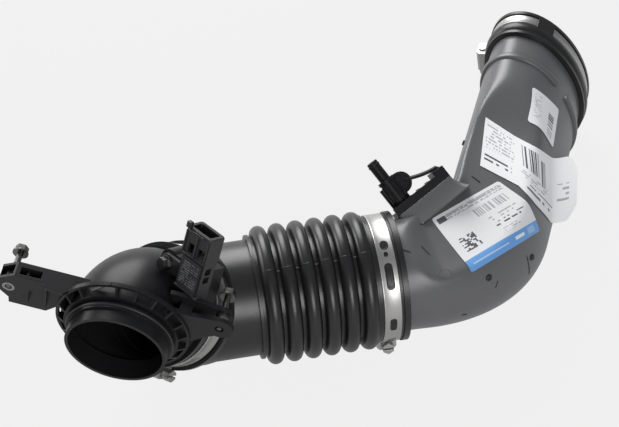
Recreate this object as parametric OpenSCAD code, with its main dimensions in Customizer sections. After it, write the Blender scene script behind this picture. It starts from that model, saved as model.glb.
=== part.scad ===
/* [Inlet elbow] */
// Outer diameter of the round inlet spigot
spigot_d = 67; // [60:1:74]
// Wall of the inlet spigot
spigot_wall = 2.2; // [1.6:0.1:3]
// Distance from the spigot's open end to the front of the flange
spigot_len = 14.5; // [13:0.5:18]
// Outer diameter of the elbow's pipe
pipe_d = 74; // [70:1:78]
// Wall of the elbow's pipe
pipe_wall = 2.8; // [2:0.1:4]
// Distance from the spigot's open end to the elbow's corner
corner_depth = 38; // [34:1:44]
// Angle that the elbow turns through
elbow_turn = 55.8; // [45:0.2:60]
// Radius of that bend at the pipe's middle line
elbow_bend_r = 40; // [38.5:0.5:44]
// Direction of that turn round the spigot's axis
elbow_roll = 50.1; // [40:0.1:60]
// Distance from the elbow's corner to the start of the hose cuff
outlet_len = 32; // [30:1:40]
// Outer diameter of the elbow's outlet inside the cuff
outlet_d = 72; // [68:1:74]

/* [Windowed flange] */
// Outer diameter of the flange ring
flange_d = 89; // [84:0.5:94]
// Depth of the windowed flange along the pipe
flange_depth = 10; // [8:0.5:13]
// Depth of its outer ring
ring_depth = 3; // [2:0.5:5]
// Number of radial webs, and so of windows
flange_webs = 20; // [12:1:28]
// Thickness of each web
web_t = 1.6; // [1:0.1:3]

/* [Fixing bolts] */
// Place of the left bolt across the spigot
left_bolt_x = -76.6; // [-84:0.5:-70]
// Height of the left bolt across the spigot
left_bolt_y = -11; // [-16:0.5:-6]
// Place of the right bolt across the spigot
right_bolt_x = 61.5; // [56:0.5:68]
// Height of the right bolt across the spigot
right_bolt_y = -23; // [-28:0.5:-18]
// Diameter of the bolt shank
bolt_d = 4.2; // [3.6:0.1:5]
// Outer diameter of the sleeve round each bolt
sleeve_d = 8.4; // [7.5:0.1:9.5]
// Radius of the clevis ears round the bolt
ear_r = 9; // [7:0.5:11]
// Thickness of each clevis ear
ear_t = 3; // [2:0.1:4]
// Clear gap between the two clevis ears
ear_gap = 7; // [6:0.2:10]
// Length of the left bolt behind the arm
left_bolt_reach = 15.5; // [8:0.5:20]
// Length of the right bolt behind the rear ear
right_bolt_reach = 12; // [6:0.5:16]

/* [Sensor] */
// Width of the sensor body
sensor_w = 20; // [18:0.5:24]
// Length of the sensor body
sensor_l = 25; // [22:0.5:30]
// Depth of the sensor body along the pipe
sensor_t = 10.5; // [9:0.5:14]
// Distance from the pipe's axis to the middle of the sensor's face
sensor_face_r = 55.9; // [55:0.1:58]
// Direction of the sensor round the pipe
sensor_angle = -48.5; // [-52:0.5:-46]
// Distance from the elbow's corner to the sensor's face, along the outlet
sensor_face_z = -8.3; // [-10:0.1:-7]
// Lean of the sensor away from the pipe's outlet
sensor_lean = 17; // [5:1:25]
// Length of the connector shroud
shroud_l = 19; // [16:0.5:26]
// Wall of the connector shroud
shroud_wall = 1.6; // [1.2:0.1:2.5]
// Diameter of the sensor's probe
probe_d = 9; // [7:0.5:11]
// Diameter of the sensor screw's thread
screw_d = 5; // [4:0.5:6]

/* [Bellows hose] */
// Wall of the rubber cuffs
cuff_wall = 4.5; // [3.5:0.1:6]
// Length of each cuff
cuff_len = 26; // [22:1:32]
// Distance from the cuff's inner end to the hose's corner
cuff_to_corner = 14; // [12:1:20]
// Angle that the hose's corner turns through
hose_turn = 52.2; // [40:0.1:62]
// Direction of that turn round the elbow's outlet
hose_roll = -42.8; // [-50:0.5:-30]
// Outer diameter of the plain stretch next to the bellows
plain_d = 80; // [76:0.5:84]
// Wall of the plain stretch and of the bellows
hose_wall = 2.6; // [2.2:0.1:4]
// Distance from the hose's corner to the first fold
first_fold = 50.2; // [46:0.5:60]
// Number of folds
folds = 6; // [3:1:9]
// Distance from one fold to the next
fold_pitch = 13.1; // [11:0.1:16]
// Outer diameter of the folds
fold_d = 96; // [90:0.5:104]
// Radius of the round top of each fold
fold_r = 5.2; // [4:0.1:6.4]
// Distance from the last fold to the hose's end
end_cuff_reach = 26.3; // [26:0.1:34]

/* [Clamps] */
// Width of the steel bands
band_w = 12; // [9:0.5:14]
// Thickness of the steel bands
band_t = 0.9; // [0.6:0.1:1.4]
// Width of each clamp's worm housing
housing_w = 14; // [12:0.5:18]
// Length of each clamp's worm housing
housing_l = 17; // [13:0.5:22]
// Height of each clamp's worm housing
housing_h = 8; // [7:0.2:11]
// Diameter of the worm screw
worm_d = 6; // [5:0.2:7]

/* [Duct] */
// Outer diameter of the duct's round end
duct_d = 78; // [74:1:84]
// Wall of the duct
duct_wall = 2.6; // [2:0.1:4]
// Straight length before the duct's bend
duct_lead = 17; // [12:1:22]
// Radius of the bend at the duct's middle line
duct_bend_r = 76; // [72:1:84]
// Angle that the duct turns through
duct_turn = 64.4; // [50:0.2:75]
// Direction of that turn round the bellows
duct_roll = -166.7; // [-180:0.1:-150]
// Straight length after the bend, up to the duct's far end
duct_len = 160; // [140:1:190]
// Long outer width of the duct's oval end
oval_long = 102; // [96:1:116]
// Short outer width of the duct's oval end
oval_short = 62; // [56:1:72]
// Turn of the oval round the duct's axis
oval_turn = 76.5; // [60:0.5:90]
// Direction of the flattened side round the duct
flat_angle = -66; // [-80:1:-56]
// Depth that the flattened side is cut back in the bend
flat_depth = 12; // [4:0.5:13]
// Distance of the stop rib from the duct's far end
rib_setback = 45; // [38:1:60]
// Height of the stop rib
rib_h = 2.4; // [1.5:0.1:4]
// Width of the stop rib
rib_w = 4; // [3:0.5:6]

/* [Breather] */
// Direction of the breather round the duct
breather_angle = -125; // [-135:1:-115]
// Distance from the duct's axis to the middle of the breather's pad
pad_r = 51; // [50:0.5:56]
// Rise of the pad along the duct
pad_rise = 29.8; // [20:0.2:36]
// Length of the breather's plate along the duct
plate_l = 46; // [42:1:52]
// Width of the breather's plate
plate_w = 20; // [16:1:26]
// Outer diameter of the breather nipple
nipple_d = 8; // [7:0.2:10]
// Length of the breather nipple from the plate
nipple_l = 41; // [32:1:48]
// Lead-in chamfer at the nipple's tip
nipple_lead = 0.6; // [0.3:0.1:1]
// Distance from the plate's end to the nipple
nipple_setback = 10; // [8:0.5:14]

/* [End coupler] */
// Wall of the coupler over the duct
coupler_wall = 2.2; // [2:0.1:4]
// Length of the coupler
coupler_len = 26; // [24:1:40]
// Length of the coupler that covers the duct
coupler_overlap = 19; // [16:1:22]
// Height of the coupler's two rims
coupler_rim_h = 1.6; // [0.8:0.1:3]

/* [Hidden] */
$fn = 96;
eps = 0.01;
cut = 1;

// Frames: each is a 4 by 4 matrix whose Z axis runs along the air path
function shift(v) = [[1, 0, 0, v.x], [0, 1, 0, v.y], [0, 0, 1, v.z], [0, 0, 0, 1]];
function spin(a) = [[cos(a), -sin(a), 0, 0], [sin(a), cos(a), 0, 0], [0, 0, 1, 0], [0, 0, 0, 1]];
function tip(a) = [[cos(a), 0, sin(a), 0], [0, 1, 0, 0], [-sin(a), 0, cos(a), 0], [0, 0, 0, 1]];
function pitch(a) = [[1, 0, 0, 0], [0, cos(a), -sin(a), 0], [0, sin(a), cos(a), 0], [0, 0, 0, 1]];
function turned(roll, a) = spin(roll) * tip(a) * spin(-roll);
function bent(roll, a, r) = spin(roll) * shift([r, 0, 0]) * tip(a) * shift([-r, 0, 0]) * spin(-roll);
module at(frame) { multmatrix(frame) children(); }

pipe_r = pipe_d / 2;
bore_r = pipe_r - pipe_wall;
spigot_r = spigot_d / 2;
cuff_in_r = outlet_d / 2;
cuff_r = cuff_in_r + cuff_wall;
flange_r = flange_d / 2;
flange_back = spigot_len + flange_depth;
mount_z = spigot_len + 5.5;
plain_r = plain_d / 2;
fold_top = fold_d / 2 - fold_r;
hose_len = first_fold + (folds - 1) * fold_pitch + end_cuff_reach;
duct_r = duct_d / 2;
end_cuff_r = duct_r + cuff_wall;
bend_len = duct_bend_r * duct_turn * PI / 180;

bend_step = 0.4;
bend_reach = elbow_bend_r * tan(elbow_turn / 2);
outlet_axis = shift([0, 0, corner_depth]) * turned(elbow_roll, elbow_turn);
outlet_bend_end = outlet_axis * shift([0, 0, bend_reach]);
cuff_start = outlet_axis * shift([0, 0, outlet_len]);
hose_axis = cuff_start * shift([0, 0, cuff_len + cuff_to_corner]) * turned(hose_roll, hose_turn);
duct_axis = hose_axis * shift([0, 0, hose_len]);
duct_bend_start = duct_axis * shift([0, 0, duct_lead]);
duct_bend_end = duct_bend_start * bent(duct_roll, duct_turn, duct_bend_r);
duct_end = duct_bend_end * shift([0, 0, duct_len]);
oval_axis = duct_end * spin(oval_turn);

// How the whole part lies at rest on its floor: on the bellows, a worm housing and the coupler
rest_middle = [-212.42, -0.65, 88.73];
rest_heading = -49.5;
rest_slope = 7.2;
rest_pitch = -85.1;
rest_frame = shift(rest_middle) * spin(rest_heading) * tip(rest_slope) * pitch(rest_pitch);
module rest() { multmatrix(rest_frame) children(); }

// Ring and oval helpers
module tube(r, t, h) {
  difference() {
    cylinder(r = r, h = h);
    translate([0, 0, -cut]) cylinder(r = r - t, h = h + 2 * cut);
  }
}
module oval(long, short) {
  scale([long / short, 1]) circle(short / 2);
}
module oval_tube(long, short, t, h) {
  linear_extrude(h) difference() {
    oval(long, short);
    oval(long - 2 * t, short - 2 * t);
  }
}

// Inlet elbow
lip_r = spigot_r + 4.6;
ring_front = spigot_len + 4.2;
long_window = 13;
web_pitch = 360 / flange_webs;
module flange_ring() {
  translate([0, 0, ring_front]) tube(flange_r, 2, ring_depth);
  translate([0, 0, spigot_len]) tube(lip_r, 2.4, 4);
  translate([0, 0, spigot_len]) cylinder(r = pipe_r - 0.5, h = flange_back - spigot_len - 0.5);
  for (i = [0 : flange_webs - 1]) if (i != long_window)
    rotate([90, 0, (i + 0.5) * web_pitch]) linear_extrude(web_t, center = true)
      polygon([[lip_r - 2, spigot_len + 0.3], [lip_r - 0.2, spigot_len + 0.3], [flange_r - 0.6, ring_front + 0.3],
        [flange_r - 0.6, ring_front + ring_depth - 0.3], [pipe_r + 1, flange_back], [pipe_r - 2, flange_back]]);
  rotate([0, 0, (long_window + 0.5) * web_pitch]) translate([0, 0, ring_front + 0.4]) linear_extrude(ring_depth - 0.8)
    polygon([[(lip_r - 1) * cos(web_pitch * 0.9), -(lip_r - 1) * sin(web_pitch * 0.9)],
      [flange_r - 1, web_pitch * 0.5], [flange_r - 1, web_pitch * 0.5 + web_t],
      [(lip_r - 1) * cos(web_pitch * 0.8), -(lip_r - 1) * sin(web_pitch * 0.8)]]);
}
module bend(r) {
  rotate([0, 0, elbow_roll]) translate([elbow_bend_r, 0, corner_depth - bend_reach]) rotate([90, 0, 0])
    rotate([0, 0, 180 - elbow_turn]) rotate_extrude(angle = elbow_turn) translate([elbow_bend_r, 0]) circle(r);
}
arm_edge = -25.3;
arm_back = mount_z + 11.3;
arm_x = left_bolt_x;
arm_y = left_bolt_y;
module arm_cells() {
  translate([0, 0, mount_z + 2.2]) linear_extrude(arm_back - mount_z - 4)
    polygon([[arm_x + 6.4, arm_edge - cut], [-56, arm_edge - cut], [-57.5, arm_y - 9], [arm_x + 7.5, arm_y + 2]]);
  translate([0, 0, mount_z + 2.2]) linear_extrude(arm_back - mount_z - 4)
    polygon([[arm_x - 9, arm_y - 10], [arm_x + 2, arm_y - 15], [arm_x + 2.6, arm_y - 8], [arm_x - 2, arm_y - 5.6],
      [arm_x - 5.4, arm_y - 3]]);
}
module arm() {
  difference() {
    union() {
      translate([0, 0, mount_z]) linear_extrude(arm_back - mount_z)
        polygon([[arm_x - 7, arm_y + 4], [arm_x - 6.6, arm_y - 7], [arm_x + 3.6, arm_edge], [-53.5, arm_edge],
          [-55, arm_y - 8.5], [arm_x + 3.6, arm_y + 9.5], [arm_x, arm_y + 11]]);
      translate([0, arm_edge + 2.4, 0]) rotate([90, 0, 0]) linear_extrude(2.4)
        polygon([[arm_x + 3.6, mount_z], [-54, mount_z], [-53, mount_z - 3], [-40, mount_z - 4.5],
          [-35, mount_z + 1], [-26, mount_z + 8], [-26, arm_back], [arm_x + 3.6, arm_back]]);
    }
    arm_cells();
  }
  translate([arm_x, arm_y, mount_z]) cylinder(r = sleeve_d / 2 + 1.4, h = arm_back - mount_z);
  translate([0, 0, arm_back - 3.6]) linear_extrude(3.6)
    polygon([[-78, 18], [arm_x - 2.5, arm_y + 8], [arm_x + 3.6, arm_edge], [-26, arm_edge], [-30, -4],
      [-44, 8], [-53, 18]]);
  for (x = [-66, -54, -42])
    translate([x, arm_edge + 2, arm_back - 7.5]) cube([1.8, 32, 5]);
}
rear_ear_z = mount_z + ear_t + ear_gap;
module clevis() {
  bx = right_bolt_x;
  by = right_bolt_y;
  translate([0, 0, mount_z]) linear_extrude(ear_t) {
    translate([bx, by]) circle(ear_r);
    polygon([[26, -31], [41, -29.5], [bx - 2, by - ear_r + 0.2], [bx, by], [bx - 2, by + ear_r - 0.6],
      [bx - 12, by + 17], [42, 2], [34, 4]]);
  }
  translate([0, 0, rear_ear_z]) linear_extrude(ear_t) {
    translate([bx, by]) circle(ear_r - 2);
    polygon([[26, -34], [38, -34], [bx - 1, by - ear_r + 2.1], [bx, by], [bx - 1, by + ear_r - 2.4],
      [bx - 14, by + 14], [42, 0], [34, 4]]);
  }
  translate([34, -30, mount_z]) cube([8, 3, 2 * ear_t + ear_gap]);
}

// Sensor seat: Z runs into the sensor's body, Y down its face towards the pipe
sensor_frame = outlet_axis * shift([sensor_face_r * cos(sensor_angle), sensor_face_r * sin(sensor_angle), sensor_face_z])
  * tip(3) * pitch(sensor_lean);
screw_x = -23;
screw_y = 4.5;
foot_z = 2;
foot_t = 3;
foot_r = 8.5;
foot_pad_r = 6.3;
probe_x = -1;
probe_y = 5;
tower_z = sensor_t;
body_top = -12;
module sensor_tower() {
  translate([screw_x, screw_y, foot_z + foot_t]) cylinder(r = foot_r, h = 26);
  translate([screw_x, screw_y - foot_r + 1, foot_z + foot_t]) cube([-screw_x - sensor_w / 2 - 1, 2 * foot_r + 2, 20]);
  translate([-sensor_w / 2 - 2, screw_y - foot_r + 1, tower_z]) cube([sensor_w - 2.5, 2 * foot_r + 9, 15]);
  translate([-sensor_w / 2 - 7, body_top + sensor_l + 0.2, 3]) cube([sensor_w / 2 + 8, 7, 18]);
  translate([screw_x - 20, screw_y + 12, foot_z + foot_t + 9]) rotate([0, 90, 0]) cylinder(r = 4, h = 16);
}
module inlet_elbow() rest() color([0.16, 0.16, 0.17]) difference() {
  union() {
    cylinder(r = spigot_r, h = corner_depth - bend_reach + eps);
    bend(pipe_r + bend_step);
    at(outlet_bend_end) translate([0, 0, -eps]) {
      cylinder(r = pipe_r, h = outlet_len - bend_reach - 1);
      cylinder(r = cuff_in_r, h = outlet_len - bend_reach + cuff_len - 2);
      translate([0, 0, outlet_len - bend_reach - 5]) tube(pipe_r + 2, 4, 3);
    }
    at(sensor_frame) sensor_tower();
    for (z = [8.6, 12.2]) translate([0, 0, z]) cylinder(r = spigot_r + 1.6, h = 1.5);
    flange_ring();
    arm();
    clevis();
  }
  translate([0, 0, -cut]) cylinder(r = spigot_r - spigot_wall, h = spigot_len + cut);
  translate([0, 0, spigot_len - eps]) cylinder(r1 = spigot_r - spigot_wall, r2 = bore_r,
    h = corner_depth - bend_reach - spigot_len + 2 * eps);
  bend(bore_r + bend_step);
  at(outlet_bend_end) {
    translate([0, 0, -eps]) cylinder(r = bore_r, h = outlet_len - bend_reach - 2);
    cylinder(r = cuff_in_r - pipe_wall, h = outlet_len + cuff_len);
  }
  at(sensor_frame) {
    translate([-sensor_w / 2 - 0.2, body_top, -cut]) cube([sensor_w + 0.4, sensor_l + 0.1, sensor_t + cut]);
    translate([screw_x, screw_y, foot_z + foot_t - cut]) cylinder(r = screw_d / 2, h = 14 + cut);
    translate([probe_x, probe_y, tower_z - cut]) cylinder(r = probe_d / 2 + 0.2, h = 5 + cut);
    translate([probe_x, probe_y, tower_z + 3]) cylinder(r = 1.5, h = 34);
  }
  translate([left_bolt_x, left_bolt_y, mount_z - cut]) cylinder(r = sleeve_d / 2, h = arm_back - mount_z + 2 * cut);
  translate([right_bolt_x, right_bolt_y, mount_z - cut]) cylinder(r = bolt_d / 2 + 0.9, h = ear_t + 2 * cut);
  translate([right_bolt_x, right_bolt_y, rear_ear_z - cut]) cylinder(r = sleeve_d / 2 - 0.6, h = ear_t + 2 * cut);
}
module spigot_seal() rest() color([0.1, 0.1, 0.1])
  translate([0, 0, 11.15]) rotate_extrude() translate([spigot_r, 0]) intersection() {
    translate([1, 0]) circle(1.45);
    translate([0, -1.05]) square([3, 2.1]);
  }

// Captive bolts and their sleeves: the shank's tip stands flush with the mounting face
module bolt(length) {
  cylinder(r = bolt_d / 2 - 0.5, h = 3);
  translate([0, 0, 2]) cylinder(r = bolt_d / 2, h = length - 2);
  translate([0, 0, length]) cylinder(r = 5.3, h = 1.2);
  translate([0, 0, length + 1.2]) cylinder(r1 = 5.3, r2 = 4.4, h = 0.8);
  translate([0, 0, length + 1.2]) cylinder(r = 4.5, h = 4, $fn = 6);
}
module left_bolt() rest() color([0.55, 0.56, 0.58])
  translate([left_bolt_x, left_bolt_y, mount_z + 0.2]) bolt(arm_back - mount_z + left_bolt_reach);
module right_bolt() rest() color([0.55, 0.56, 0.58])
  translate([right_bolt_x, right_bolt_y, mount_z + 0.2]) bolt(2 * ear_t + ear_gap + right_bolt_reach);
module left_sleeve() rest() color([0.5, 0.51, 0.52])
  translate([left_bolt_x, left_bolt_y, mount_z]) tube(sleeve_d / 2, sleeve_d / 2 - bolt_d / 2 - 0.3, arm_back - mount_z);
module right_sleeve() rest() color([0.5, 0.51, 0.52])
  translate([right_bolt_x, right_bolt_y, mount_z + ear_t]) difference() {
    union() {
      cylinder(r = sleeve_d / 2, h = ear_gap);
      cylinder(r = sleeve_d / 2 - 0.6, h = ear_gap + ear_t);
    }
    translate([0, 0, -cut]) cylinder(r = bolt_d / 2 + 0.3, h = 60);
  }

// Sensor: its face looks back along the pipe and its connector points away from it
shroud_t = sensor_t + 1.5;
module sensor_body() rest() at(sensor_frame) color([0.13, 0.13, 0.14]) difference() {
  union() {
    translate([-sensor_w / 2, body_top, 0]) cube([sensor_w, sensor_l, sensor_t]);
    translate([screw_x, screw_y, foot_z]) cylinder(r = foot_pad_r, h = foot_t);
    translate([screw_x, screw_y - foot_pad_r, foot_z]) cube([-screw_x - sensor_w / 2 + 1, 2 * foot_pad_r - 2, foot_t]);
    translate([-sensor_w / 2 - 0.5, body_top - shroud_l, -0.5]) cube([sensor_w + 1, shroud_l, shroud_t]);
    translate([probe_x, probe_y, tower_z - eps]) cylinder(r = probe_d / 2 - 1.2, h = 4);
  }
  translate([screw_x, screw_y, foot_z - cut]) cylinder(r = screw_d / 2 + 0.2, h = foot_t + 2 * cut);
  translate([shroud_wall - sensor_w / 2 - 0.5, body_top - shroud_l - cut, shroud_wall - 0.5])
    cube([sensor_w + 1 - 2 * shroud_wall, shroud_l - 3 + cut, shroud_t - 2 * shroud_wall]);
  for (x = [-6.5, 2]) translate([x, body_top - 9, -0.5 - cut]) cube([6, 6.5, shroud_wall + 2 * cut]);
  for (x = [-8.6, -2.6, 3.4]) translate([x, body_top + sensor_l - 4, -cut]) cube([4.8, 2.8, 3 + cut]);
  for (y = [3, 9]) translate([sensor_w / 2 - 3, body_top + y, 2.4]) cube([3 + cut, 4.6, 5]);
}
module sensor_seal() rest() at(sensor_frame) color([0.35, 0.12, 0.1])
  translate([probe_x, probe_y, tower_z + 2]) rotate_extrude() translate([probe_d / 2 - 0.5, 0]) circle(0.68, $fn = 24);
module sensor_terminals() rest() at(sensor_frame) color([0.8, 0.7, 0.4])
  for (i = [-1.5 : 1 : 1.5])
    translate([i * 4 - 0.6, body_top - 13, 4.9]) cube([1.2, 10, 0.8]);
module sensor_screw() rest() at(sensor_frame) color([0.72, 0.72, 0.7])
  translate([screw_x, screw_y, foot_z]) {
    cylinder(r = screw_d / 2, h = 14);
    translate([0, 0, -1.2]) cylinder(r = 5.4, h = 1.2);
    translate([0, 0, -5]) cylinder(r = 4.4, h = 4, $fn = 6);
  }

// Bellows hose
module fold_outside() {
  rotate_extrude() {
    translate([fold_top, 0]) circle(fold_r, $fn = 32);
    translate([bore_r, -fold_r]) square([fold_top - bore_r, 2 * fold_r]);
  }
}
module fold_inside() {
  rotate_extrude() {
    translate([fold_top, 0]) circle(fold_r - hose_wall, $fn = 32);
    translate([0, hose_wall - fold_r]) square([fold_top, 2 * (fold_r - hose_wall)]);
  }
}
module bellows_hose() rest() color([0.12, 0.12, 0.12]) difference() {
  union() {
    at(cuff_start) {
      cylinder(r = cuff_r, h = cuff_len + cuff_to_corner);
      cylinder(r = cuff_r + 1.5, h = 2.5);
      translate([0, 0, cuff_len - 4]) cylinder(r = cuff_r + 3.6, h = 3.5);
      translate([0, 0, cuff_len + cuff_to_corner]) sphere(cuff_r + 0.5);
    }
    at(hose_axis) {
      cylinder(r = plain_r, h = hose_len - cuff_len);
      translate([0, 0, first_fold - fold_pitch / 2 - 3]) cylinder(r = plain_r + 3, h = 2.2);
      for (i = [0 : folds - 1]) translate([0, 0, first_fold + i * fold_pitch]) fold_outside();
      translate([0, 0, hose_len - cuff_len + 3]) cylinder(r = end_cuff_r, h = cuff_len - 3);
      translate([0, 0, hose_len - cuff_len + 3]) cylinder(r = end_cuff_r + 1.5, h = 2.5);
      translate([0, 0, hose_len - 4]) cylinder(r = end_cuff_r + 1.6, h = 4);
    }
  }
  at(cuff_start) {
    translate([0, 0, -cut]) cylinder(r = cuff_in_r, h = cuff_len - 2 + cut);
    cylinder(r = cuff_r - hose_wall - 1.4, h = cuff_len + cuff_to_corner);
    translate([0, 0, cuff_len + cuff_to_corner]) sphere(cuff_r - hose_wall - 0.9);
  }
  at(elbow_clamp) translate([0, 0, -band_w / 2 - 0.5]) tube(cuff_r + 14, 14 - fit_gap / 2, band_w + 1);
  at(hose_axis) {
    cylinder(r = plain_r - hose_wall, h = hose_len);
    for (i = [0 : folds - 1]) translate([0, 0, first_fold + i * fold_pitch]) fold_inside();
    translate([0, 0, hose_len - cuff_len + 6]) cylinder(r = duct_r + fit_gap, h = cuff_len);
  }
}

// Worm clamps: a band, a housing that straddles it and a screw along the tangent
slot_pitch = 2.6;
fit_gap = 0.03;
module round_band(r) {
  difference() {
    translate([0, 0, -band_w / 2]) tube(r + band_t, band_t, band_w);
    for (i = [1 : 9]) rotate([0, 0, 14 + i * slot_pitch / r * 180 / PI])
      translate([r + band_t / 2, 0, 0]) rotate([24, 0, 0]) cube([3 * band_t, 1, band_w * 0.62], center = true);
  }
}
module housing(r) {
  difference() {
    translate([r - 2, -housing_l / 2, -housing_w / 2]) cube([housing_h + 2, housing_l, housing_w]);
    translate([0, 0, -housing_w]) cylinder(r = r, h = 2 * housing_w);
    translate([r + housing_h - worm_d / 2 - 1, 0, 0]) rotate([90, 0, 0]) cylinder(r = worm_d / 2, h = 2 * housing_l, center = true);
    for (s = [-1, 1]) translate([r + housing_h + 0.4, 0, s * (housing_w / 2 + 0.4)]) rotate([0, 45, 0])
      cube([4, 2 * housing_l, 4], center = true);
  }
}
module worm(r) {
  translate([r + housing_h - worm_d / 2 - 1, 0, 0]) rotate([90, 0, 0]) {
    translate([0, 0, -housing_l / 2 - 1]) cylinder(r = worm_d / 2, h = housing_l + 3);
    difference() {
      translate([0, 0, housing_l / 2 + 1]) cylinder(r = 4.3, h = 6, $fn = 6);
      translate([0, 0, housing_l / 2 + 6]) cube([1.2, 12, 3], center = true);
    }
  }
}
elbow_clamp = cuff_start * shift([0, 0, cuff_len - 12]) * spin(76);
duct_clamp = hose_axis * shift([0, 0, hose_len - 4 - band_w / 2 - 2]) * spin(84);
module elbow_clamp_band() rest() at(elbow_clamp) color([0.78, 0.78, 0.76]) round_band(cuff_r + fit_gap);
module elbow_clamp_housing() rest() at(elbow_clamp) color([0.75, 0.75, 0.72]) housing(cuff_r + band_t + 2 * fit_gap);
module elbow_clamp_screw() rest() at(elbow_clamp) color([0.7, 0.7, 0.66]) worm(cuff_r + band_t + 2 * fit_gap);
module duct_clamp_band() rest() at(duct_clamp) color([0.78, 0.78, 0.76]) round_band(end_cuff_r + fit_gap);
module duct_clamp_housing() rest() at(duct_clamp) color([0.75, 0.75, 0.72]) housing(end_cuff_r + band_t + 2 * fit_gap);
module duct_clamp_screw() rest() at(duct_clamp) color([0.7, 0.7, 0.66]) worm(end_cuff_r + band_t + 2 * fit_gap);

// Duct: a skin of rings that turn along the bend and change from round to oval
ring_n = 56;
bend_rings = 14;
spigot_back = cuff_len - 8;
stations = concat([-spigot_back, 0], [for (i = [1 : bend_rings]) duct_lead + bend_len * i / bend_rings],
  [for (i = [1 : 10]) duct_lead + bend_len + duct_len * i / 10]);
function ease(x) = let (c = min(1, max(0, x))) c * c * (3 - 2 * c);
function station(s) =
  s <= duct_lead ? duct_axis * shift([0, 0, s])
  : s <= duct_lead + bend_len
    ? duct_bend_start * bent(duct_roll, duct_turn * (s - duct_lead) / bend_len, duct_bend_r)
    : duct_bend_end * shift([0, 0, s - duct_lead - bend_len]);
function half_long(s) = duct_r + (oval_long / 2 - duct_r) * ease(s / (bend_len + 40));
function half_short(s) = duct_r + (oval_short / 2 - duct_r) * ease(s / (bend_len + 40));
function reach(s) = let (d = flat_angle + 180 - oval_turn)
  sqrt(pow(half_long(s) * cos(d), 2) + pow(half_short(s) * sin(d), 2));
function flat_at(s) = reach(s) - flat_depth * ease((s - 3) / 22) * ease((bend_len + duct_len - 55 - s) / 30);
function flattened(p, d) = let (m = [cos(flat_angle), sin(flat_angle)]) p - max(0, p * m - d) * m;
function turned_2d(p, a) = [p.x * cos(a) - p.y * sin(a), p.x * sin(a) + p.y * cos(a)];
function ring(s, inset) = [for (k = [0 : ring_n - 1])
  let (a = 360 * k / ring_n,
    p = flattened(turned_2d([(half_long(s) - inset) * cos(a), (half_short(s) - inset) * sin(a)], oval_turn),
      flat_at(s) - inset),
    q = station(s) * [p.x, p.y, 0, 1]) [q.x, q.y, q.z]];
function overrun(s, more) = [for (i = [0 : len(s) - 1]) i == 0 ? s[i] - more : i == len(s) - 1 ? s[i] + more : s[i]];
module skin(inset, more) {
  at_s = overrun(stations, more);
  n = len(at_s);
  points = [for (s = at_s) each ring(s, inset)];
  sides = [for (j = [0 : n - 2]) for (k = [0 : ring_n - 1]) let (m = (k + 1) % ring_n)
    [j * ring_n + k, (j + 1) * ring_n + k, (j + 1) * ring_n + m, j * ring_n + m]];
  ends = [[for (k = [0 : ring_n - 1]) k], [for (k = [ring_n - 1 : -1 : 0]) (n - 1) * ring_n + k]];
  polyhedron(points, concat(sides, ends), convexity = 6);
}
module duct() rest() color([0.27, 0.27, 0.28]) difference() {
  union() {
    skin(0, 0);
    pad();
    stop_rib();
  }
  skin(duct_wall, cut);
  at(breather_frame) translate([0, 0, -30]) cylinder(r = nipple_d / 2 - 1, h = 40, $fn = 48);
}
module pad() {
  at(pad_frame) hull() {
    translate([-plate_w / 2 - 0.5, -plate_l / 2 - 0.5, -2]) cube([plate_w + 1, plate_l + 1, 2]);
    translate([-plate_w / 2 - 5, -plate_l / 2 + 6, -14]) cube([plate_w + 10, plate_l + 2, 2]);
  }
}
module stop_rib() {
  at(oval_axis) translate([0, 0, -rib_setback]) difference() {
    linear_extrude(rib_w) oval(oval_long + 2 * rib_h, oval_short + 2 * rib_h);
    translate([0, 0, -cut]) rotate([0, 0, -64]) cube([90, 9, 2 * rib_w + 2 * cut]);
  }
}

// Breather: the pad's frame has X across the duct, Y along it and Z away from it
pad_centre = 26.2;
pad_frame = duct_axis * shift([0, 0, pad_centre]) * spin(breather_angle) * shift([pad_r, 0, 0])
  * tip(90) * spin(90) * pitch(pad_rise);
breather_frame = pad_frame * shift([0, nipple_setback - plate_l / 2, 0]);
module breather_fitting() rest() color([0.17, 0.17, 0.18]) difference() {
  union() {
    at(pad_frame) translate([-plate_w / 2, -plate_l / 2, 0]) cube([plate_w, plate_l, 2.6]);
    at(pad_frame) translate([plate_w / 2 - 3, -plate_l / 2, 0]) cube([3, plate_l, 6]);
    at(pad_frame) translate([-plate_w / 2, plate_l / 2 - 9, 0]) cube([plate_w, 9, 9]);
    for (y = [4, 12, 20]) at(pad_frame) translate([-plate_w / 2, y - plate_l / 2 + 12, 0]) cube([plate_w, 1.8, 6]);
    at(breather_frame) {
      translate([0, 0, 1]) cylinder(r = nipple_d / 2, h = nipple_l - 1 - nipple_lead);
      translate([0, 0, nipple_l - nipple_lead])
        cylinder(r1 = nipple_d / 2, r2 = nipple_d / 2 - nipple_lead, h = nipple_lead);
      translate([0, 0, 1]) cylinder(r = nipple_d / 2 + 1.6, h = nipple_l * 0.56);
      translate([0, 0, nipple_l * 0.56]) cylinder(r = nipple_d / 2 + 2.2, h = 2.4);
      translate([-nipple_d, -7, 1]) cube([2.4, 15, 20]);
    }
    at(breather_frame) translate([-8, 8, 17]) rotate([0, 90, 0]) cylinder(r = 7.5, h = 6);
  }
  at(breather_frame) translate([0, 0, -20]) cylinder(r = nipple_d / 2 - 1.5, h = nipple_l + 40);
  at(breather_frame) translate([0, 0, -cut]) cylinder(r = nipple_d / 2 + 1.4, h = 1.2 + cut);
}
module breather_seal() rest() color([0.1, 0.1, 0.1])
  at(breather_frame) tube(nipple_d / 2 + 1.3, 2, 1.2);

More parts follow.
